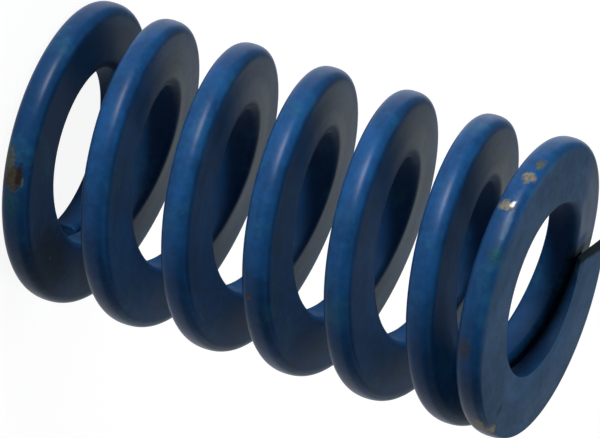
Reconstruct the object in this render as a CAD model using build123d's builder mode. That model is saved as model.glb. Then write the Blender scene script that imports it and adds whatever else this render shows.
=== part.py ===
from build123d import *
import math
import os

# Die spring, in millimetres: one wire of keystone section, coiled right-hand,
# with both ends closed onto the next turn and ground flat.
# The axis is Z, and the spring stands on its ground bottom end at the origin.

# Envelope of the coil
outer_diameter = 36.6
free_length = 64

# Section of the wire. Coiling squeezes it thicker at the bore than at the outside.
wire_width = 7.7
outer_thickness = 3.4
inner_thickness = 4.15
outer_edge_bevel = 0.9
inner_edge_bevel = 0.6

# Turns. Each end turn lies closed, then lifts over a short stretch to the open pitch.
total_turns = 7.24
bottom_closed_turns = 0.54
top_closed_turns = 0.7
lift_turns = 0.35
bottom_closed_pitch = 1.95
top_closed_pitch = 0.15

# The last stretch of the wire climbs along the turn below it
tip_climb = 3.1
tip_climb_turns = 0.54

# What grinding leaves of the wire at its two tips, measured at the bore
bottom_tip_thickness = 2.85
top_tip_thickness = 0.65

# Bearing of the wire's top tip round the axis, in degrees from X
top_tip_bearing = 117

# Cross-sections that the loft passes through
sections_per_turn = 8

outer_radius = outer_diameter / 2
inner_radius = outer_radius - wire_width


def turns_lifted(turns):
    """Turns of full lift gathered by this many turns past the start of a lift."""
    share = turns / lift_turns
    if share <= 0:
        return 0
    if share >= 1:
        return turns - lift_turns / 2
    return lift_turns * (share**3 - share**4 / 2)


def pitch_turns(turn):
    """Turns gathered by here at the bottom end's pitch, the open pitch and the top end's pitch."""
    lifted = turns_lifted(turn - bottom_closed_turns)
    lowered = turns_lifted(turn - (total_turns - top_closed_turns - lift_turns))
    return turn - lifted, lifted - lowered, lowered


# The open pitch carries the wire from tip to tip over the free length
start_height = bottom_tip_thickness - inner_thickness / 2
end_height = free_length + inner_thickness / 2 - top_tip_thickness
bottom_turns, open_turns, top_turns = pitch_turns(total_turns)
closed_rise = bottom_closed_pitch * bottom_turns + top_closed_pitch * top_turns + tip_climb
open_pitch = (end_height - start_height - closed_rise) / open_turns


def wire_height(turn):
    """Height of the wire's centre after this many turns from the bottom tip."""
    bottom, middle, top = pitch_turns(turn)
    climbed = max(0, 1 - (total_turns - turn) / tip_climb_turns) ** 2
    rise = bottom_closed_pitch * bottom + open_pitch * middle + top_closed_pitch * top
    return start_height + rise + tip_climb * climbed


def half_thickness(radius):
    """Half of the wire's thickness at this radius, between its two sloping flanks."""
    share = (radius - inner_radius) / wire_width
    return (inner_thickness + (outer_thickness - inner_thickness) * share) / 2


# Corners of the upper half of the section, from the bore outward
flank_start = inner_radius + inner_edge_bevel
flank_end = outer_radius - outer_edge_bevel
bore_corner = (inner_radius, half_thickness(inner_radius) - inner_edge_bevel)
flank_bore_corner = (flank_start, half_thickness(flank_start))
flank_rim_corner = (flank_end, half_thickness(flank_end))
rim_corner = (outer_radius, half_thickness(outer_radius) - outer_edge_bevel)
half_section = [bore_corner, flank_bore_corner, flank_rim_corner, rim_corner]
section_corners = half_section + [(radius, -height) for radius, height in reversed(half_section)]
section_sides = list(zip(section_corners, section_corners[1:] + section_corners[:1]))

section_gaps = round(sections_per_turn * total_turns)
first_bearing = top_tip_bearing - 360 * total_turns

with BuildPart() as spring_coil:
    for index in range(section_gaps + 1):
        turn = total_turns * index / section_gaps
        bearing = math.radians(first_bearing + 360 * turn)
        outward = (math.cos(bearing), math.sin(bearing), 0)
        backward = (math.sin(bearing), -math.cos(bearing), 0)
        section_plane = Plane((0, 0, wire_height(turn)), x_dir=outward, z_dir=backward)
        with BuildSketch(section_plane):
            # Each side is straight. Its end weights, the radii, keep the coil's facets few.
            with BuildLine():
                for start, end in section_sides:
                    Bezier(start, end, weights=[end[0], start[0]])
            make_face()
    loft()
    # Grinding takes both ends flat and leaves each tip thin
    split(bisect_by=Plane.XY, keep=Keep.TOP)
    split(bisect_by=Plane.XY.offset(free_length), keep=Keep.BOTTOM)

spring_coil.part.label = "spring_coil"

os.makedirs("parts", exist_ok=True)
export_step(spring_coil.part, "parts/spring_coil.step")
print("open pitch", round(open_pitch, 3))
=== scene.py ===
# %% [markdown]
# # A blue die spring
# A die spring is a heavy coil of steel wire that pushes the plates of a press tool apart.
# This lesson dresses one that has been in use: blue paint, rubbed and chipped here and there,
# over wire that was squeezed into a keystone section as it was coiled.
# The exact solid comes first, as a frame that nothing may move. All sizes are metres, +Z is up,
# and the spring stands on its ground bottom end at the origin.

# %% Load the exact solid
import bpy
import bmesh
import math
from mathutils import Matrix, Vector


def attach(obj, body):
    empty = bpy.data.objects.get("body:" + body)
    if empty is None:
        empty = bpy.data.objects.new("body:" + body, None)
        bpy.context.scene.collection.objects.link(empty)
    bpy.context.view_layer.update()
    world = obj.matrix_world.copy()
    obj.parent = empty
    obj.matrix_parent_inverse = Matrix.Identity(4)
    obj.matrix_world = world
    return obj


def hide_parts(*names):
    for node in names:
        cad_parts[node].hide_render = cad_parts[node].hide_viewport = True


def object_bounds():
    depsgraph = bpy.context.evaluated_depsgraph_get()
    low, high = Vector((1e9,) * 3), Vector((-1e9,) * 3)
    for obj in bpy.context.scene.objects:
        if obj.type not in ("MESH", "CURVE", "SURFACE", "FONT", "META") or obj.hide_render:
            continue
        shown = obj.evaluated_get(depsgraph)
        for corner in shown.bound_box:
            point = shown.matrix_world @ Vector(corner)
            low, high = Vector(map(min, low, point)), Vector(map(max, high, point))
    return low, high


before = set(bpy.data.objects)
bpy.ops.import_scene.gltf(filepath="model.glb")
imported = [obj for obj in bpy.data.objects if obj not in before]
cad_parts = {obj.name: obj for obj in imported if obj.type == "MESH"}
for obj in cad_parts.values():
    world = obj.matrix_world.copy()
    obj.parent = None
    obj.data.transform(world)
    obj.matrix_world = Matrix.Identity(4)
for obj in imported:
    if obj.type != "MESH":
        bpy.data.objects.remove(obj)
solid_low, solid_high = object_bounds()
print("solid, lowest and highest corner:", solid_low[:], solid_high[:])

# %% [markdown]
# ## The way of the wire
# A coil spring is one line, its wire's centre, with the same section carried along it.
# We could bend a curve object along a helix, but a curve's bevel turns with the curve, and this
# section must stay square to the spring's axis. So we work out the height of the wire's centre
# ourselves, turn by turn: it climbs slowly in the closed end turns, and fast in between.

# %% Sizes of the coil
MM = 0.001
clearance = 0.004 * MM
outer_radius = min(solid_high.x, solid_high.y, -solid_low.x, -solid_low.y) - clearance
free_length = solid_high.z
wire_width = 7.7 * MM
inner_radius = outer_radius - wire_width

total_turns = 7.24
bottom_closed_turns = 0.54
top_closed_turns = 0.7
lift_turns = 0.35
bottom_closed_pitch = 1.95 * MM
top_closed_pitch = 0.15 * MM
tip_climb = 3.1 * MM
tip_climb_turns = 0.54
bottom_tip_thickness = 2.85 * MM
top_tip_thickness = 0.65 * MM
top_tip_bearing = math.radians(117)

outer_thickness = 3.4 * MM
inner_thickness = 4.15 * MM
print("turns:", total_turns, "bore in mm:", round(2 * inner_radius / MM, 2))

# %% [markdown]
# ## From turns to height
# The wire climbs at three pitches: slowly in the closed turns at each end, and fast between
# them. A coiling machine goes from one pitch to the next over part of a turn, and so does this
# law. `turns_lifted` eases a lift in, `pitch_turns` shares the turns out among the pitches, and
# `wire_height` adds up the climb. Over the last half turn it adds a little more, because there
# the wire climbs along the turn below it. A table of heights would draw the same coil, but
# a longer spring would then need a new table.


# %% Height of the wire's centre
def turns_lifted(turns):
    """Turns of full lift gathered by this many turns past the start of a lift."""
    share = turns / lift_turns
    if share <= 0:
        return 0
    if share >= 1:
        return turns - lift_turns / 2
    return lift_turns * (share**3 - share**4 / 2)


def pitch_turns(turn):
    """Turns gathered by here at the bottom end's pitch, the open pitch and the top end's pitch."""
    lifted = turns_lifted(turn - bottom_closed_turns)
    lowered = turns_lifted(turn - (total_turns - top_closed_turns - lift_turns))
    return turn - lifted, lifted - lowered, lowered


start_height = bottom_tip_thickness - inner_thickness / 2
end_height = free_length + inner_thickness / 2 - top_tip_thickness
bottom_turns, open_turns, top_turns = pitch_turns(total_turns)
closed_rise = bottom_closed_pitch * bottom_turns + top_closed_pitch * top_turns + tip_climb
open_pitch = (end_height - start_height - closed_rise) / open_turns


def wire_height(turn):
    """Height of the wire's centre after this many turns from the bottom tip."""
    bottom, middle, top = pitch_turns(turn)
    climbed = max(0, 1 - (total_turns - turn) / tip_climb_turns) ** 2
    rise = bottom_closed_pitch * bottom + open_pitch * middle + top_closed_pitch * top
    return start_height + rise + tip_climb * climbed


print("open pitch in mm:", round(open_pitch / MM, 2))

# %% [markdown]
# ## The section of the wire
# The wire was rolled flat before it was coiled. Bending it edgewise into a coil thickened it at
# the bore and thinned it at the rim, which gives the keystone shape. Its flanks are straight, so
# one function of the radius gives the thickness anywhere. Four corner points would do for
# a sharp section, but the round corners need the slope and the thickness between them too.

# %% Thickness of the section
flank_slope = math.atan((inner_thickness - outer_thickness) / 2 / wire_width)


def half_thickness(radius):
    """Half of the wire's thickness at this radius, between its two sloping flanks."""
    outward = (radius - inner_radius) / wire_width
    return (inner_thickness + (outer_thickness - inner_thickness) * outward) / 2


print("slope of a flank in degrees:", round(math.degrees(flank_slope), 2))

# %% [markdown]
# ## Round corners and a full rim
# Rolling leaves no sharp edge on the wire. Two arcs make the corners at the bore. The rim is one
# full, rounded nose: a superellipse, which is flat in the middle and turns ever faster towards
# the flanks, so that a highlight slides round it without a step. Two arcs there would leave
# a flat band between them, and the light would stop at its edges. Only the upper half is worked
# out, because the lower half is its mirror image.

# %% Points round the section
rim_nose_depth = 1.6 * MM
rim_fullness = 2.55
bore_corner_radius = 0.75 * MM
rim_arc_steps = 12
bore_arc_steps = 5
flank_steps = 9


def arc_points(centre, radius, start, end, steps):
    """Points of an arc, from the angle start to the angle end, both in radians."""
    angles = [start + (end - start) * step / steps for step in range(steps + 1)]
    return [(centre[0] + radius * math.cos(a), centre[1] + radius * math.sin(a)) for a in angles]


def corner_centre(radius, corner_radius):
    """Centre of a round corner at this radius that just touches the upper flank."""
    return radius, half_thickness(radius) - corner_radius / math.cos(flank_slope)


flank_normal = math.pi / 2 - flank_slope
rim_arc = []
for step in range(1, rim_arc_steps + 1):
    angle = math.pi / 2 * step / rim_arc_steps
    inward = rim_nose_depth * (1 - max(0, math.cos(angle)) ** (2 / rim_fullness))
    height = half_thickness(outer_radius - rim_nose_depth) * math.sin(angle) ** (2 / rim_fullness)
    rim_arc.append((outer_radius - inward, height))
rim_arc.insert(0, (outer_radius, rim_arc[0][1] / 3))
bore_arc = arc_points(corner_centre(inner_radius + bore_corner_radius, bore_corner_radius),
                      bore_corner_radius, flank_normal, math.pi, bore_arc_steps)
flank_start, flank_end = Vector(rim_arc[-1]), Vector(bore_arc[0])
flank = [tuple(flank_start.lerp(flank_end, step / flank_steps)) for step in range(1, flank_steps)]
upper_half = rim_arc + flank + bore_arc
section = upper_half + [(radius, -height) for radius, height in reversed(upper_half)]
print("points round the section:", len(section))

# %% [markdown]
# ## Sweeping the section
# The section is set down along the wire like the steps of a spiral stair: each step is one ring
# of vertices, and all of them point at the spring's axis. A Screw modifier would turn a section
# round an axis too, but it climbs evenly, and this wire doesn't.

# %% Rings along the wire
steps_per_turn = 160
ring_count = round(steps_per_turn * total_turns)
ring_turns = [total_turns * index / ring_count for index in range(ring_count + 1)]


def wire_bearing(turn):
    """Bearing of the wire round the axis after this many turns, in radians."""
    return top_tip_bearing - 2 * math.pi * total_turns + 2 * math.pi * turn


wire = bmesh.new()
wire_uv = wire.loops.layers.uv.new("wire")
rings = []
for turn in ring_turns:
    bearing, centre_height = wire_bearing(turn), wire_height(turn)
    rings.append([wire.verts.new((radius * math.cos(bearing), radius * math.sin(bearing),
                                  centre_height + height)) for radius, height in section])
print("rings:", len(rings), "vertices:", len(wire.verts))

# %% [markdown]
# ## A number for the sooty gap
# The last closed turn lies on the one below it. The flank in that narrow gap is never wiped, so
# its faces get a number of their own, which later gives them a matt, sooty paint. A stain could
# darken it too, but it would still shine, and a thin grey line would run along the gap.

# %% Sides that face the gap
COIL, GROUND_END, SOOTY_GAP = 0, 1, 2
closed_gap = (total_turns - 1.42, total_turns - 1.01)
gap_reach = 4 * MM
gap_height = 1.1 * MM


def sides(points):
    """The sides of a closed outline, each as its two end points."""
    return zip(points, points[1:] + points[:1])


def is_inner_flank(start, end):
    """Whether this side of the section is part of the upper flank, near the bore."""
    near_bore = (start[0] + end[0]) / 2 < inner_radius + gap_reach
    return near_bore and (start[1] + end[1]) / 2 > gap_height


inner_flank = [is_inner_flank(start, end) for start, end in sides(section)]
print("sides of the section that face the gap:", sum(inner_flank))

# %% [markdown]
# ## Faces between the rings
# Each ring is joined to the last one by quads, and both tips are closed by one face each.
# The UV map runs along the wire in one direction and round the section in the other, both in
# metres, so that the marks of the drawing die can follow the wire. Unwrapping the finished mesh
# would give a map as well, but one that is stretched and cut up.

# %% Faces of the wire
mean_radius = (outer_radius + inner_radius) / 2
around = [0.0]
for start, end in sides(section):
    around.append(around[-1] + (Vector(end) - Vector(start)).length)

for index in range(ring_count):
    in_gap = closed_gap[0] < ring_turns[index] < closed_gap[1]
    along = [2 * math.pi * mean_radius * turn for turn in ring_turns[index:index + 2]]
    for point in range(len(section)):
        after = (point + 1) % len(section)
        corners = [rings[index][point], rings[index + 1][point],
                   rings[index + 1][after], rings[index][after]]
        face = wire.faces.new(corners)
        places = [(along[0], around[point]), (along[1], around[point]),
                  (along[1], around[point + 1]), (along[0], around[point + 1])]
        for loop, place in zip(face.loops, places):
            loop[wire_uv].uv = place
        if in_gap and inner_flank[point]:
            face.material_index = SOOTY_GAP
wire.faces.new(rings[0])
wire.faces.new(rings[-1])
bmesh.ops.recalc_face_normals(wire, faces=wire.faces[:])
print("faces before grinding:", len(wire.faces))

# %% [markdown]
# ## Grinding the ends
# Both ends of the coil are ground flat on a surface grinder. A cut by a plane does the same:
# what lies beyond it is deleted, and the open edge is filled by one flat face. The sharp edge
# that a cut leaves never looks real, so a fine bevel breaks it where the faces meet steeply.

# %% Grind both ends flat
edge_break = 0.09 * MM
steep = math.radians(35)


def grind(mesh, height, outward):
    """Cut the mesh at this height, and return the flat face that fills the cut."""
    everything = mesh.verts[:] + mesh.edges[:] + mesh.faces[:]
    cut = bmesh.ops.bisect_plane(mesh, geom=everything, dist=1e-8, plane_co=(0, 0, height),
                                 plane_no=(0, 0, outward), clear_outer=True)
    rim = [item for item in cut["geom_cut"] if isinstance(item, bmesh.types.BMEdge)]
    before = set(mesh.faces)
    bmesh.ops.contextual_create(mesh, geom=rim)
    return [face for face in mesh.faces if face not in before]


ground_faces = grind(wire, 0, -1) + grind(wire, free_length, 1)
bmesh.ops.recalc_face_normals(wire, faces=wire.faces[:])
for face in wire.faces:
    face.smooth = True
for face in ground_faces:
    face.smooth = False
    face.material_index = GROUND_END
steep_edges = [edge for face in ground_faces for edge in face.edges
               if edge.calc_face_angle(0) > steep]
bmesh.ops.bevel(wire, geom=steep_edges, offset=edge_break, segments=2, profile=0.5,
                affect="EDGES", clamp_overlap=True, material=COIL)
print("faces after grinding:", len(wire.faces), "steep edges:", len(steep_edges))

# %% [markdown]
# ## From mesh to object
# Blender keeps a mesh and the object that shows it apart. The object rides on the solid's only
# body and replaces the solid, which stays for collisions. Shading is smooth over the rounded
# wire, and an angle limit keeps the ground edges crisp. Flat shading with more faces would also
# show a round wire, but its highlights would break up into small steps.

# %% Make the spring an object
smooth_up_to = math.radians(40)
spring_mesh = bpy.data.meshes.new("painted_coil")
wire.normal_update()
wire.to_mesh(spring_mesh)
wire.free()
spring = bpy.data.objects.new("painted_coil", spring_mesh)
bpy.context.scene.collection.objects.link(spring)
spring_mesh.set_sharp_from_angle(angle=smooth_up_to)
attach(spring, "root")
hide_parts("spring_coil")
spring_mesh.calc_loop_triangles()
print("triangles:", len(spring_mesh.loop_triangles))

# %% [markdown]
# ## Helpers for node materials
# A material is a small graph of nodes. Written out in full, each node takes several lines, so
# one helper makes a node, sets it and links it in one call. A value handed to it may be a plain
# value or another node's output, and `feed` tells them apart.


# %% Nodes and links
def feed(tree, socket, value):
    """Link a node's output to this socket, or set the socket to a plain value."""
    if isinstance(value, bpy.types.NodeSocket):
        tree.links.new(value, socket)
    else:
        socket.default_value = value


def add_node(tree, kind, inputs=None, **settings):
    node = tree.nodes.new("ShaderNode" + kind)
    for name, value in settings.items():
        setattr(node, name, value)
    for socket, value in (inputs or {}).items():
        feed(tree, node.inputs[socket], value)
    return node


print("helpers:", feed.__name__, add_node.__name__)

# %% [markdown]
# ## Sums and noises
# Nearly all of the paint is made of five kinds of node: arithmetic on numbers and on vectors,
# a mix of two colours, a noise, and a soft step from one value to another. Each gets a short
# helper that returns its output, so that a sum of nodes reads like a sum.


# %% Helpers for the common nodes
def maths(tree, operation, *values):
    return add_node(tree, "Math", dict(enumerate(values)), operation=operation).outputs[0]


def vector_maths(tree, operation, *values):
    node = add_node(tree, "VectorMath", dict(enumerate(values)), operation=operation)
    return node.outputs["Value" if operation == "LENGTH" else "Vector"]


def mix_colours(tree, share, first, second):
    node = add_node(tree, "Mix", {0: share, 6: first, 7: second}, data_type="RGBA")
    return node.outputs[2]


def noise(tree, place, scale, detail=3.0, roughness=0.5):
    settings = {"Vector": place, "Scale": scale, "Detail": detail, "Roughness": roughness}
    return add_node(tree, "TexNoise", settings).outputs[0]


def smooth_range(tree, value, low, high, to_low=0.0, to_high=1.0):
    """A value between low and high, eased into the range to_low to to_high."""
    limits = {"Value": value, 1: low, 2: high, 3: to_low, 4: to_high}
    return add_node(tree, "MapRange", limits, interpolation_type="SMOOTHSTEP").outputs[0]


common_nodes = (maths, vector_maths, mix_colours, noise, smooth_range)
print("helpers:", [helper.__name__ for helper in common_nodes])

# %% [markdown]
# ## Groups of nodes
# The wire, its ground end and the sooty gap wear the same paint and the same marks. What they
# share is built once as a group, with named sockets, and placed in each material with its own
# values. Copies of the nodes would look the same, but a change would have to be made three times.

# %% Node groups
SOCKETS = {"colour": "NodeSocketColor", "number": "NodeSocketFloat", "vector": "NodeSocketVector"}


def new_group(name, inputs, outputs):
    """An empty shader node group with these named sockets, its start node and its end node."""
    tree = bpy.data.node_groups.new(name, "ShaderNodeTree")
    for way, sockets in (("INPUT", inputs), ("OUTPUT", outputs)):
        for socket, kind in sockets.items():
            tree.interface.new_socket(socket, in_out=way, socket_type=SOCKETS[kind])
    return tree, tree.nodes.new("NodeGroupInput").outputs, tree.nodes.new("NodeGroupOutput").inputs


def use_group(tree, group, **values):
    """Place a group in a material. Socket names are given with _ for each space."""
    node = tree.nodes.new("ShaderNodeGroup")
    node.node_tree = group
    for name, value in values.items():
        feed(tree, node.inputs[name.replace("_", " ")], value)
    return node.outputs


print("kinds of socket:", list(SOCKETS))

# %% [markdown]
# ## Where on the coil
# Wear sits at places that are easiest to name on the coil: so far round the axis, so far from it,
# and so high. One group turns a point into those three lengths, in metres. A second UV map could
# hold them too, but the flat ends have no turn of their own, and here they need none.
# The bearing jumps from one end of its range to the other on the side of -X, away from all marks.
# `arc_at` works out the same arc for a known bearing, so that nodes and lists agree.


# %% The coil_place group
def arc_at(bearing):
    """Length round the rim from the side of +X to this bearing, as coil_place gives it."""
    return ((bearing + math.pi) % (2 * math.pi) - math.pi) * outer_radius


coil_place, given, result = new_group("coil_place", {"Position": "vector"}, {"Place": "vector"})
parts = add_node(coil_place, "SeparateXYZ", {0: given["Position"]}).outputs
bearing_node = maths(coil_place, "ARCTAN2", parts["Y"], parts["X"])
arc_node = maths(coil_place, "MULTIPLY", bearing_node, outer_radius)
flat_node = vector_maths(coil_place, "MULTIPLY", given["Position"], (1, 1, 0))
distance_node = vector_maths(coil_place, "LENGTH", flat_node)
joined = add_node(coil_place, "CombineXYZ", {0: arc_node, 1: distance_node, 2: parts["Z"]})
coil_place.links.new(joined.outputs[0], result["Place"])
print("coil_place nodes:", len(coil_place.nodes))
print("arc at the top tip in mm:", round(arc_at(top_tip_bearing) / MM, 1))

# %% [markdown]
# ## Chips in the paint
# Paint on a die spring goes where the coils strike each other and where the end is dragged over
# a bench. Each chip is listed by its turn along the wire, its distance from the axis and its
# height over the wire's centre in millimetres, half its length along the wire, half its width,
# its colour, and how bare the steel is in it.
# Painting an image would be quicker, but a list can be read, moved and lengthened.
# There are a brown scab low on the coil, with a small painted glint at its upper edge, three tan
# chips on the last coil with one bright corner, worn primer at the ground edge, two rust spots and
# two fine scratches.

# %% List of chips
SCAB_BROWN = (0.046, 0.040, 0.030, 1)
SCAB_DARK = (0.018, 0.012, 0.010, 1)
OLD_PRIMER = (0.062, 0.078, 0.076, 1)
PALE_PRIMER = (0.150, 0.140, 0.112, 1)
CREAM_PRIMER = (0.300, 0.285, 0.235, 1)
BARE_STEEL = (0.400, 0.400, 0.390, 1)
RUST_SPOT = (0.120, 0.058, 0.028, 1)
SCRATCH_BLUE = (0.060, 0.090, 0.130, 1)
paint_chips = [
    (0.698, 18.1, -0.95, 1.9, 0.80, OLD_PRIMER, 0.0),
    (0.713, 18.2, -0.25, 1.6, 1.10, SCAB_BROWN, 0.0),
    (0.709, 18.2, 0.60, 1.35, 0.45, SCAB_DARK, 0.0),
    # Painted glint: this small pale mark at the scab's upper edge stands for a highlight, not for
    # primer.
    (0.714, 18.1, 1.10, 0.60, 0.15, OLD_PRIMER, 0.0),
    (6.590, 18.2, -0.35, 0.70, 0.95, PALE_PRIMER, 0.0),
    (6.587, 18.1, 0.42, 0.50, 0.30, BARE_STEEL, 0.8),
    (6.550, 18.1, 0.55, 0.85, 0.72, PALE_PRIMER, 0.0),
    (6.526, 18.0, 0.75, 1.00, 0.50, OLD_PRIMER, 0.0),
    (6.862, 18.2, 0.10, 1.50, 0.80, CREAM_PRIMER, 0.0),
    (6.880, 17.8, 1.10, 1.15, 0.65, CREAM_PRIMER, 0.0),
    (3.765, 18.2, -0.45, 0.22, 0.30, RUST_SPOT, 0.0),
    (0.845, 14.7, 1.95, 0.18, 0.20, RUST_SPOT, 0.0),
    (2.840, 16.3, 1.80, 1.50, 0.09, SCRATCH_BLUE, 0.0),
    (2.826, 15.7, 1.85, 0.90, 0.07, SCRATCH_BLUE, 0.0),
]
print("chips:", len(paint_chips))

# %% [markdown]
# ## Stains, and painted light and shade
# Oil, coolant and fine dirt leave thin films on the paint, in teal, green and brown. A stain is
# listed as a chip is, but its last number says how well it covers the paint under it. The same list
# holds painted light and shade as well: a paler patch of painted light on a shaded facet by the
# bottom tip, a navy patch of painted shade on the bore near it, and a pale painted highlight along
# the ground edge of the last coil. Painted shade also lies in the closed gap, along the bore under
# the last stretch of the wire. A row of marks in a loop puts it there, a little narrower with each
# step back from the tip. A single long mark would not do, because it is straight and would leave
# the curved wire.

# %% List of stains and painted light
FILM_GREEN = (0.004, 0.013, 0.018, 1)
FILM_TEAL = (0.008, 0.060, 0.092, 1)
FILM_BROWN = (0.046, 0.043, 0.042, 1)
# Painted shade: a navy darkening for the bore near the bottom tip.
NAVY_PAINTED_SHADE = (0.004, 0.024, 0.062, 1)
# Painted shade for the closed gap between the last coil and the one below.
GAP_PAINTED_SHADE = (0.004, 0.015, 0.028, 1)
# Painted light: a paler blue that brightens a shaded facet by the bottom tip.
TIP_PAINTED_LIGHT = (0.012, 0.085, 0.230, 1)
# Painted highlight: a pale streak along the ground edge of the last coil.
PAINTED_EDGE_HIGHLIGHT = (0.080, 0.155, 0.250, 1)
stains_and_painted_light = [
    # Painted light on the shaded facet by the bottom tip.
    (0.002, 12.0, 0.80, 0.6, 2.2, TIP_PAINTED_LIGHT, 0.8),
    # Painted shade on the bore near the bottom tip.
    (0.962, 10.6, -0.60, 2.6, 1.9, NAVY_PAINTED_SHADE, 0.7),
    (0.740, 18.2, -0.10, 1.6, 0.9, FILM_TEAL, 0.8),
    (0.845, 14.8, 1.90, 6.5, 3.6, FILM_GREEN, 0.7),
    (0.950, 14.6, 1.95, 3.0, 2.6, FILM_BROWN, 0.22),
    (6.645, 18.1, 0.80, 1.3, 0.8, FILM_TEAL, 0.9),
    (6.750, 18.2, -0.45, 1.4, 0.7, FILM_BROWN, 0.7),
    # Painted highlight along the ground edge of the last coil.
    (6.613, 18.0, 0.80, 2.6, 0.32, PAINTED_EDGE_HIGHLIGHT, 0.65),
    (6.880, 15.2, 2.00, 0.6, 0.8, FILM_TEAL, 0.7),
]

# Painted shade: a row of dark marks along the bore in the closed gap, under the last stretch of the
# wire.
gap_shade_steps = 9
gap_shade_turns = 0.30
for step in range(gap_shade_steps):
    turns_back = gap_shade_turns * step / (gap_shade_steps - 1)
    half_width = 1.1 - 0.05 * step
    stains_and_painted_light.append((total_turns - turns_back, 10.7, -2.2, 2.6, half_width, GAP_PAINTED_SHADE, 0.75))
print("stains:", len(stains_and_painted_light))

# %% [markdown]
# ## From a list to the surface
# A mark's turn, radius and height belong to the wire, and coil_place measures on the whole coil.
# This helper turns the one into the other, and keeps a mark near an end on the ground face.
# Plain coordinates in the list would need no helper, but they would be wrong as soon as
# the wire or the pitch changes.


# %% Places of the marks
def surface_place(turn, radius_mm, height_mm):
    """The arc, distance from the axis and height of a point of the wire's section."""
    level = min(max(wire_height(turn) + height_mm * MM, 0), free_length)
    return arc_at(wire_bearing(turn)), radius_mm * MM, level


first_place = surface_place(*paint_chips[0][:3])
print("place of the first chip in mm:", [round(length / MM, 1) for length in first_place])

# %% [markdown]
# ## One group for every list of marks
# A mark is a squashed ball of space: its mask is one inside and nought outside, and a noise pushes
# its edge in and out, so that no two chips have the same outline. Chips get a hard, ragged edge,
# and stains and painted light a soft one. The group works along the list and lays each mark over
# the last.
# Dust lies unevenly in every mark, so a second noise darkens parts of its colour.


# %% The mark groups
DUSTY = 0.35


def mark_group(name, marks, softness, raggedness, shows_steel):
    """A group that lays a list of marks over a colour, and tells where they are."""
    tree, given, result = new_group(
        name, {"Place": "vector", "Position": "vector", "Color": "colour"},
        {"Color": "colour", "Mask": "number", "Bare": "number"})
    coarse = noise(tree, given["Position"], 1100, detail=4, roughness=0.65)
    push = maths(tree, "MULTIPLY", maths(tree, "SUBTRACT", coarse, 0.5), raggedness)
    dust = smooth_range(tree, noise(tree, given["Position"], 2600, detail=3), 0.38, 0.66, 0, 0.55)
    colour, whole, bare = given["Color"], 0.0, 0.0
    for turn, radius_mm, height_mm, half_length, half_width, tint, strength in marks:
        centre = surface_place(turn, radius_mm, height_mm)
        away = vector_maths(tree, "SUBTRACT", given["Place"], centre)
        squash = (1 / (half_length * MM), 1 / (half_width * MM), 1 / (half_width * MM))
        reach = vector_maths(tree, "LENGTH", vector_maths(tree, "MULTIPLY", away, squash))
        ragged = maths(tree, "ADD", reach, push)
        mask = smooth_range(tree, ragged, 1 - softness, 1 + softness, 1, 0)
        if shows_steel:
            bare = maths(tree, "MAXIMUM", bare, maths(tree, "MULTIPLY", mask, strength))
        else:
            mask = maths(tree, "MULTIPLY", mask, strength)
        dusty = mix_colours(tree, dust, tint, tuple(DUSTY * part for part in tint[:3]) + (1,))
        colour = mix_colours(tree, mask, colour, dusty)
        whole = maths(tree, "MAXIMUM", whole, mask)
    feed(tree, result["Color"], colour)
    feed(tree, result["Mask"], whole)
    feed(tree, result["Bare"], bare)
    return tree


chip_marks = mark_group("chip_marks", paint_chips, 0.34, 2.4, shows_steel=True)
stain_and_light_marks = mark_group("stain_and_light_marks", stains_and_painted_light, 0.55, 1.6, shows_steel=False)
print("nodes in chip_marks:", len(chip_marks.nodes), "in stain_and_light_marks:", len(stain_and_light_marks.nodes))

# %% [markdown]
# ## The tones of old paint
# Spring paint is a thin sprayed enamel. It is never one blue: it runs into paler and deeper
# drifts, and has a green cast where oil and thin primer show through. Three noises of different
# sizes add up to the drifts, a fourth gives the cast, a fifth mottles the whole, and a fine one
# is the orange peel of the film. The one that follows the wire is stretched along it, as the
# marks of the drawing die are. One noise for everything would look like camouflage.

# %% The paint_tone group
PEEL_HEIGHT = 0.007
DRAWN_HEIGHT = 0.005
paint_tone, given, result = new_group(
    "paint_tone",
    {"Position": "vector", "Along": "vector", "Paint": "colour", "Deep": "colour", "Cast": "colour",
     "Unevenness": "number", "Roughness": "number"},
    {"Color": "colour", "Roughness": "number", "Height": "number"})
drift = noise(paint_tone, given["Position"], 95, detail=4, roughness=0.6)
drawn = noise(paint_tone, given["Along"], 420, detail=3, roughness=0.6)
speck = noise(paint_tone, given["Position"], 1500, detail=3, roughness=0.6)
peel = noise(paint_tone, given["Position"], 1900, detail=2, roughness=0.4)
sum_of_drifts = maths(paint_tone, "ADD", maths(paint_tone, "MULTIPLY", drift, 0.55),
                      maths(paint_tone, "MULTIPLY", drawn, 0.28))
sum_of_drifts = maths(paint_tone, "ADD", sum_of_drifts, maths(paint_tone, "MULTIPLY", speck, 0.17))
depth = smooth_range(paint_tone, sum_of_drifts, 0.42, 0.58)
depth = maths(paint_tone, "MULTIPLY", depth, given["Unevenness"])
tone = mix_colours(paint_tone, depth, given["Paint"], given["Deep"])
cast_field = noise(paint_tone, given["Position"], 210, detail=4, roughness=0.65)
cast_share = smooth_range(paint_tone, cast_field, 0.53, 0.70, 0, 0.7)
cast_share = maths(paint_tone, "MULTIPLY", cast_share, given["Unevenness"])
tone = mix_colours(paint_tone, cast_share, tone, given["Cast"])
mottle = noise(paint_tone, given["Position"], 650, detail=5, roughness=0.75)
mottle = smooth_range(paint_tone, mottle, 0.30, 0.70, 0.86, 1.14)
tone = vector_maths(paint_tone, "MULTIPLY", tone, mottle)
feed(paint_tone, result["Color"], tone)
dull = maths(paint_tone, "MULTIPLY", maths(paint_tone, "SUBTRACT", drawn, 0.5), 0.16)
feed(paint_tone, result["Roughness"], maths(paint_tone, "ADD", given["Roughness"], dull))
peel_swell = maths(paint_tone, "MULTIPLY", peel, PEEL_HEIGHT)
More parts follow.
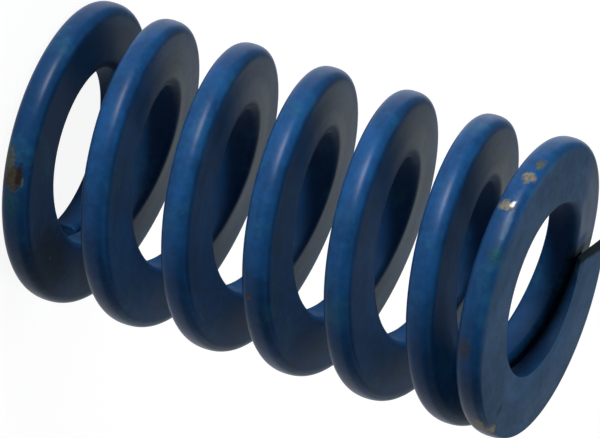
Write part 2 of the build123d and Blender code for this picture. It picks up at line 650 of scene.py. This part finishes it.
drawn_swell = maths(paint_tone, "MULTIPLY", drawn, DRAWN_HEIGHT)
feed(paint_tone, result["Height"], maths(paint_tone, "ADD", peel_swell, drawn_swell))
print("paint_tone nodes:", len(paint_tone.nodes))

# %% [markdown]
# ## Painted shade and grime at the tip
# The cut tip of the wire at the top end is darkened: partly painted shade, and partly the oil and
# dust that gather on the tip, which the paint never covered well. The tip's bearing is known, so
# the group measures how far a point lies before it, lets a noise push that distance in and out, and
# darkens a band of about a millimetre. A stain in the list could do it too, but a stain is round,
# and this band runs straight across the wire.

# %% The tip_shade_and_grime group
tip_arc = arc_at(top_tip_bearing)
tip_shade_and_grime, given, result = new_group(
    "tip_shade_and_grime", {"Place": "vector", "Position": "vector", "Color": "colour", "Grime": "colour"},
    {"Color": "colour", "Mask": "number"})
parts = add_node(tip_shade_and_grime, "SeparateXYZ", {0: given["Place"]}).outputs
waver = noise(tip_shade_and_grime, given["Position"], 700, detail=3)
waver = maths(tip_shade_and_grime, "MULTIPLY", maths(tip_shade_and_grime, "SUBTRACT", waver, 0.5), 0.9 * MM)
before_tip = maths(tip_shade_and_grime, "SUBTRACT", tip_arc, maths(tip_shade_and_grime, "ADD", parts["X"], waver))
past_tip = smooth_range(tip_shade_and_grime, before_tip, -0.6 * MM, -0.1 * MM)
near_tip = smooth_range(tip_shade_and_grime, before_tip, 0.9 * MM, 1.7 * MM, 1, 0)
on_top = smooth_range(tip_shade_and_grime, parts["Z"], free_length - 1.6 * MM, free_length - 0.9 * MM)
# Painted shade and grime: this mask darkens the band at the cut tip.
tip_shade_mask = maths(tip_shade_and_grime, "MULTIPLY", maths(tip_shade_and_grime, "MULTIPLY", past_tip, near_tip), on_top)
feed(tip_shade_and_grime, result["Mask"], tip_shade_mask)
feed(tip_shade_and_grime, result["Color"], mix_colours(tip_shade_and_grime, tip_shade_mask, given["Color"], given["Grime"]))
print("tip_shade_and_grime nodes:", len(tip_shade_and_grime.nodes))

# %% [markdown]
# ## Zones of the coil
# The ground face was painted over rougher metal than the drawn wire, so its paint looks flatter and
# more slate. On the real spring the one fades into the other where the wire dips under the grinding
# plane. The bore is duller, because the spray hardly reaches it, and its colour is darkened as
# painted shade. The lowest coil is darkened as well, painted shade that grows darker towards the
# bottom end. One group tells how far a point lies in each zone, as a soft share. A material for
# each zone would end in a hard line.

# %% The coil_zones group
coil_zones, given, result = new_group(
    "coil_zones", {"Place": "vector"}, {"Ground": "number", "Bore": "number", "Painted_low_shade": "number"})
parts = add_node(coil_zones, "SeparateXYZ", {0: given["Place"]}).outputs
near_plane = smooth_range(coil_zones, parts["Z"],
                          free_length - 0.5 * MM, free_length - 0.05 * MM)
off_rim = smooth_range(coil_zones, parts["Y"],
                       outer_radius - 1.3 * MM, outer_radius - 0.5 * MM, 1, 0)
off_bore = smooth_range(coil_zones, parts["Y"], inner_radius + 0.1 * MM, inner_radius + 0.7 * MM)
flat_part = maths(coil_zones, "MULTIPLY", off_rim, off_bore)
feed(coil_zones, result["Ground"], maths(coil_zones, "MULTIPLY", near_plane, flat_part))
feed(coil_zones, result["Bore"],
     smooth_range(coil_zones, parts["Y"], inner_radius + 0.3 * MM, inner_radius + 1.6 * MM, 1, 0))
# Painted shade: this share darkens the colour towards the bottom end.
feed(coil_zones, result["Painted_low_shade"], smooth_range(coil_zones, parts["Z"], 4 * MM, 12 * MM, 1.0, 0))
print("coil_zones nodes:", len(coil_zones.nodes))

# %% [markdown]
# ## Paint, zone by zone
# The same blue enamel looks different on each metal under it: clear and a little glossy on
# the drawn wire, slate and flat on the ground end. Each of the two surfaces gets a function
# that gives its three colours, its roughness and the direction of its grain. Two materials
# written out in full would do, but the marks over the paint would then be written twice.

# %% Two painted surfaces
PAINT_BLUE = (0.0068, 0.0560, 0.1720, 1)
PAINT_DEEP = (0.0042, 0.0350, 0.1080, 1)
PAINT_GREEN = (0.0120, 0.0780, 0.1500, 1)
SLATE_BLUE = (0.0370, 0.1020, 0.2250, 1)
SLATE_DEEP = (0.0250, 0.0720, 0.1580, 1)
SLATE_GREEN = (0.0350, 0.1020, 0.1750, 1)
WIRE_ROUGHNESS = 0.36
GROUND_ROUGHNESS = 0.60
ALONG_WIRE = (0.12, 1, 1)
ALONG_END = (0.25, 1, 1)


def wire_surface(tree, place):
    """Colours, roughness and grain of the paint on the drawn wire."""
    zones = use_group(tree, coil_zones, Place=place)
    colours = [mix_colours(tree, zones["Ground"], blue, grey) for blue, grey in
               ((PAINT_BLUE, SLATE_BLUE), (PAINT_DEEP, SLATE_DEEP), (PAINT_GREEN, SLATE_GREEN))]
    # Painted shade: the colour darkens in the bore and towards the bottom end.
    bore_and_low_shade = maths(tree, "MAXIMUM", zones["Painted_low_shade"], zones["Bore"])
    colours[0] = mix_colours(tree, bore_and_low_shade, colours[0], PAINT_DEEP)
    dull_zone = maths(tree, "MAXIMUM", zones["Ground"], zones["Bore"])
    roughness = smooth_range(tree, dull_zone, 0, 1, WIRE_ROUGHNESS, GROUND_ROUGHNESS)
    along = add_node(tree, "UVMap", uv_map="wire").outputs[0]
    return colours, roughness, vector_maths(tree, "MULTIPLY", along, ALONG_WIRE)


def end_surface(tree, place):
    """Colours, roughness and grain of the paint on the ground end."""
    along = vector_maths(tree, "MULTIPLY", place, ALONG_END)
    return [SLATE_BLUE, SLATE_DEEP, SLATE_GREEN], GROUND_ROUGHNESS, along


print("surfaces:", wire_surface.__name__, end_surface.__name__)

# %% [markdown]
# ## The layers of the paint
# Now the groups are placed one after another: the paint with its tones comes first, then the stains
# with painted light and shade, then the painted shade and grime at the tip, and the chips last,
# because a chip cuts through all of them.
# In the chips Metallic lets the steel show. Worn places are rougher than sound paint.
# Height goes to one Bump node, whose Distance of a millimetre makes heights plain millimetres.
# Real displacement would need millions of faces for peel as fine as this.

# %% A painted material
# Painted shade and grime for the cut tip of the wire.
TIP_SHADE_AND_GRIME = (0.0040, 0.0130, 0.0210, 1)
WORN_ROUGHNESS = 0.18
MATTEST = 0.85
CHIP_HEIGHT = -0.05


def painted(name, surface):
    """A material that lays stains with painted light and shade, the tip's painted shade and grime,
    and chips over this surface, and its main shader.
    """
    material = bpy.data.materials.new(name)
    material.use_nodes = True
    tree = material.node_tree
    paint = tree.nodes["Principled BSDF"]
    position = add_node(tree, "TexCoord").outputs["Object"]
    place = use_group(tree, coil_place, Position=position)["Place"]
    colours, roughness, along = surface(tree, place)
    tone = use_group(tree, paint_tone, Position=position, Along=along, Paint=colours[0],
                     Deep=colours[1], Cast=colours[2], Unevenness=0.9, Roughness=roughness)
    stains_light_and_shade = use_group(tree, stain_and_light_marks, Place=place, Position=position, Color=tone["Color"])
    tip_shaded = use_group(tree, tip_shade_and_grime, Place=place, Position=position, Color=stains_light_and_shade["Color"],
                      Grime=TIP_SHADE_AND_GRIME)
    chipped = use_group(tree, chip_marks, Place=place, Position=position, Color=tip_shaded["Color"])
    feed(tree, paint.inputs["Base Color"], chipped["Color"])
    feed(tree, paint.inputs["Metallic"], chipped["Bare"])
    worn = maths(tree, "MAXIMUM", stains_light_and_shade["Mask"], tip_shaded["Mask"])
    worn = maths(tree, "MAXIMUM", worn, chipped["Mask"])
    worn = maths(tree, "MULTIPLY", worn, WORN_ROUGHNESS)
    rough = maths(tree, "ADD", tone["Roughness"], worn)
    feed(tree, paint.inputs["Roughness"], maths(tree, "MINIMUM", rough, MATTEST))
    sunk = maths(tree, "MULTIPLY", chipped["Mask"], CHIP_HEIGHT)
    height = maths(tree, "ADD", tone["Height"], sunk)
    bump = add_node(tree, "Bump", {"Strength": 1.0, "Distance": MM, "Height": height})
    feed(tree, paint.inputs["Normal"], bump.outputs[0])
    return material, paint


print("recipe:", painted.__name__)

# %% [markdown]
# ## Three paints
# The paint is a dull enamel, so its mirror at head-on view is weak, and only its glancing edges
# turn grey. A high roughness alone would not do that: it would spread the mirror over
# the whole coil. The sooty gap has no mirror at all, because soot and oil are matt.
# The order of the materials is the order of the numbers that the faces were given.

# %% Materials of the spring
coil_paint, coil_shader = painted("coil_paint", wire_surface)
end_paint, end_shader = painted("ground_end_paint", end_surface)
gap_paint, gap_shader = painted("sooty_gap_paint", wire_surface)
coil_shader.inputs["Specular IOR Level"].default_value = 0.12
end_shader.inputs["Specular IOR Level"].default_value = 0.12
gap_shader.inputs["Specular IOR Level"].default_value = 0.0
for paint in (coil_paint, end_paint, gap_paint):
    spring_mesh.materials.append(paint)
print("materials:", [material.name for material in spring_mesh.materials])

# %% [markdown]
# ## The floor
# The photograph has a plain white ground. More light would turn a grey floor white, and the
# spring too pale with it. So the camera and mirrors see the floor glow white, and every other
# ray meets a plain pale floor. A faint dull surface under the glow keeps the spring's shadow.

# %% Floor
floor_half = 3.0
PLAIN_FLOOR = (0.62, 0.62, 0.62, 1)
FAINT_FLOOR = (0.20, 0.20, 0.20, 1)
FLOOR_GLOW = 0.91
floor_mesh = bpy.data.meshes.new("floor")
floor_corners = [(-floor_half, -floor_half, 0), (floor_half, -floor_half, 0),
                 (floor_half, floor_half, 0), (-floor_half, floor_half, 0)]
floor_mesh.from_pydata(floor_corners, [], [(0, 1, 2, 3)])
floor = bpy.data.objects.new("floor", floor_mesh)
bpy.context.scene.collection.objects.link(floor)
floor_material = bpy.data.materials.new("pale_floor")
floor_material.use_nodes = True
tree = floor_material.node_tree
tree.nodes.clear()
matt = add_node(tree, "BsdfDiffuse", {"Color": PLAIN_FLOOR})
faint = add_node(tree, "BsdfDiffuse", {"Color": FAINT_FLOOR})
glow = add_node(tree, "Emission", {"Strength": FLOOR_GLOW})
seen = add_node(tree, "AddShader", {0: faint.outputs[0], 1: glow.outputs[0]})
ray = add_node(tree, "LightPath").outputs
seen_ray = maths(tree, "MAXIMUM", ray["Is Camera Ray"], ray["Is Glossy Ray"])
seen_ray = maths(tree, "MAXIMUM", seen_ray, ray["Is Transmission Ray"])
choice = add_node(tree, "MixShader", {0: seen_ray, 1: matt.outputs[0], 2: seen.outputs[0]})
add_node(tree, "OutputMaterial", {"Surface": choice.outputs[0]})
floor_mesh.materials.append(floor_material)
print("floor:", 2 * floor_half, "metres square")

# %% [markdown]
# ## The lamps
# One small soft lamp stands low at the left of the camera, and puts the bright streak on the
# round rim of each coil: it is wider than it is high, so the streak runs along the wire. A
# weaker, much wider lamp from above lights the ground end. A sun would light both at once, but
# a sun's streak is hard, and the one in the photograph fades at its ends.


# %% Lamps
def soft_lamp(name, place, width, height, watts, aim=(0, 0, free_length / 2)):
    """A rectangular area lamp at this place, turned towards the aim."""
    lamp = bpy.data.lights.new(name, "AREA")
    lamp.shape = "RECTANGLE"
    lamp.size = width
    lamp.size_y = height
    lamp.energy = watts
    holder = bpy.data.objects.new(name, lamp)
    holder.location = place
    direction = Vector(aim) - Vector(place)
    holder.rotation_euler = direction.to_track_quat("-Z", "Y").to_euler()
    bpy.context.scene.collection.objects.link(holder)
    return holder


soft_lamp("key_lamp", (-0.455, -0.449, 0.064), 0.26, 0.11, 5.0)
soft_lamp("end_lamp", (-0.05, 0.22, 0.75), 0.9, 0.9, 2.2)
print("lamps:", [lamp.name for lamp in bpy.data.lights])

# %% [markdown]
# ## The room
# Any paint turns into a mirror at a glancing angle. The far flanks of the coils look grey in the
# photograph, because they mirror a pale wall behind the spring. The near flanks stay blue,
# because there each coil mirrors the next. So the sky is dim, with one pale patch behind the
# spring. It starts over the floor, ends at a low height, and ends towards -X, where the flanks at
# the top of the picture grow dark. A real wall would do it as well, but it would stand in the
# way when the spring is looked at from behind.

# %% Room
room_tint = (0.88, 0.97, 0.95, 1)
room_strength = 0.12
wall_strength = 1.45
world = bpy.data.worlds.new("studio")
bpy.context.scene.world = world
world.use_nodes = True
tree = world.node_tree
parts = add_node(tree, "SeparateXYZ", {0: add_node(tree, "TexCoord").outputs["Generated"]}).outputs
pale_wall = smooth_range(tree, parts["Y"], 0.0, 0.75, 0.0, wall_strength)
above_floor = smooth_range(tree, parts["Z"], 0.03, 0.30, 0.10, 1.0)
below_dark = smooth_range(tree, parts["Z"], 0.27, 0.40, 1.0, 0.10)
beside_dark = smooth_range(tree, parts["X"], -0.14, 0.03, 0.08, 1.0)
for limit in (above_floor, below_dark, beside_dark):
    pale_wall = maths(tree, "MULTIPLY", pale_wall, limit)
background = tree.nodes["Background"].inputs
feed(tree, background["Color"], room_tint)
feed(tree, background["Strength"], maths(tree, "ADD", pale_wall, room_strength))
print("nodes in the room:", len(tree.nodes))

# %% [markdown]
# ## The camera
# The photograph was taken from far away with a long lens, so the coils hardly shrink with
# distance. In the picture the spring lies on its side. Here it stands upright on its ground
# end, and the camera is rolled instead: three axes, worked out from the viewing angle, make
# its rotation. Turning the spring would need no roll, but a solid of the frame may not move.

# %% Axes of the camera
camera_elevation = math.radians(20.09)
camera_roll = -math.radians(90 + 16.73)

back = Vector((0, -math.cos(camera_elevation), math.sin(camera_elevation)))
level = Vector((1, 0, 0))
upright = back.cross(level)
image_right = math.cos(camera_roll) * level - math.sin(camera_roll) * upright
image_up = math.sin(camera_roll) * level + math.cos(camera_roll) * upright
print("camera looks along:", [round(part, 3) for part in -back])

# %% [markdown]
# ## Place and lens
# How many pixels a metre of the spring takes gives the lens for any distance, so the distance
# only sets how strong the perspective is. The camera is then slid sideways until the spring's
# centre lies on the pixel where the photograph has it. A shift of the lens would do the same,
# but it can't be seen in the scene.

# %% Camera
photo_width, photo_height = 600, 438
camera_distance = 1.098
solid_radius = 18.3 * MM
radius_in_pixels = 153.97
pixels_per_metre = radius_in_pixels / solid_radius
spring_centre_pixel = (300.2, 217.3)
aside = (photo_width / 2 - spring_centre_pixel[0]) / pixels_per_metre
above = (spring_centre_pixel[1] - photo_height / 2) / pixels_per_metre
spring_centre = Vector((0, 0, free_length / 2))

camera_data = bpy.data.cameras.new("camera")
camera_data.sensor_width = 36
camera_data.lens = pixels_per_metre * camera_distance / photo_width * camera_data.sensor_width
camera = bpy.data.objects.new("camera", camera_data)
camera.location = spring_centre + back * camera_distance + image_right * aside + image_up * above
turned = Matrix((image_right, image_up, back)).transposed()
camera.rotation_euler = turned.to_euler()
bpy.context.scene.collection.objects.link(camera)
bpy.context.scene.camera = camera
print("lens in mm:", round(camera_data.lens))

# %% [markdown]
# ## The end
# Colours are shown as they are, with no film look over them.

# %% Finish
bpy.context.scene.view_settings.view_transform = "Standard"
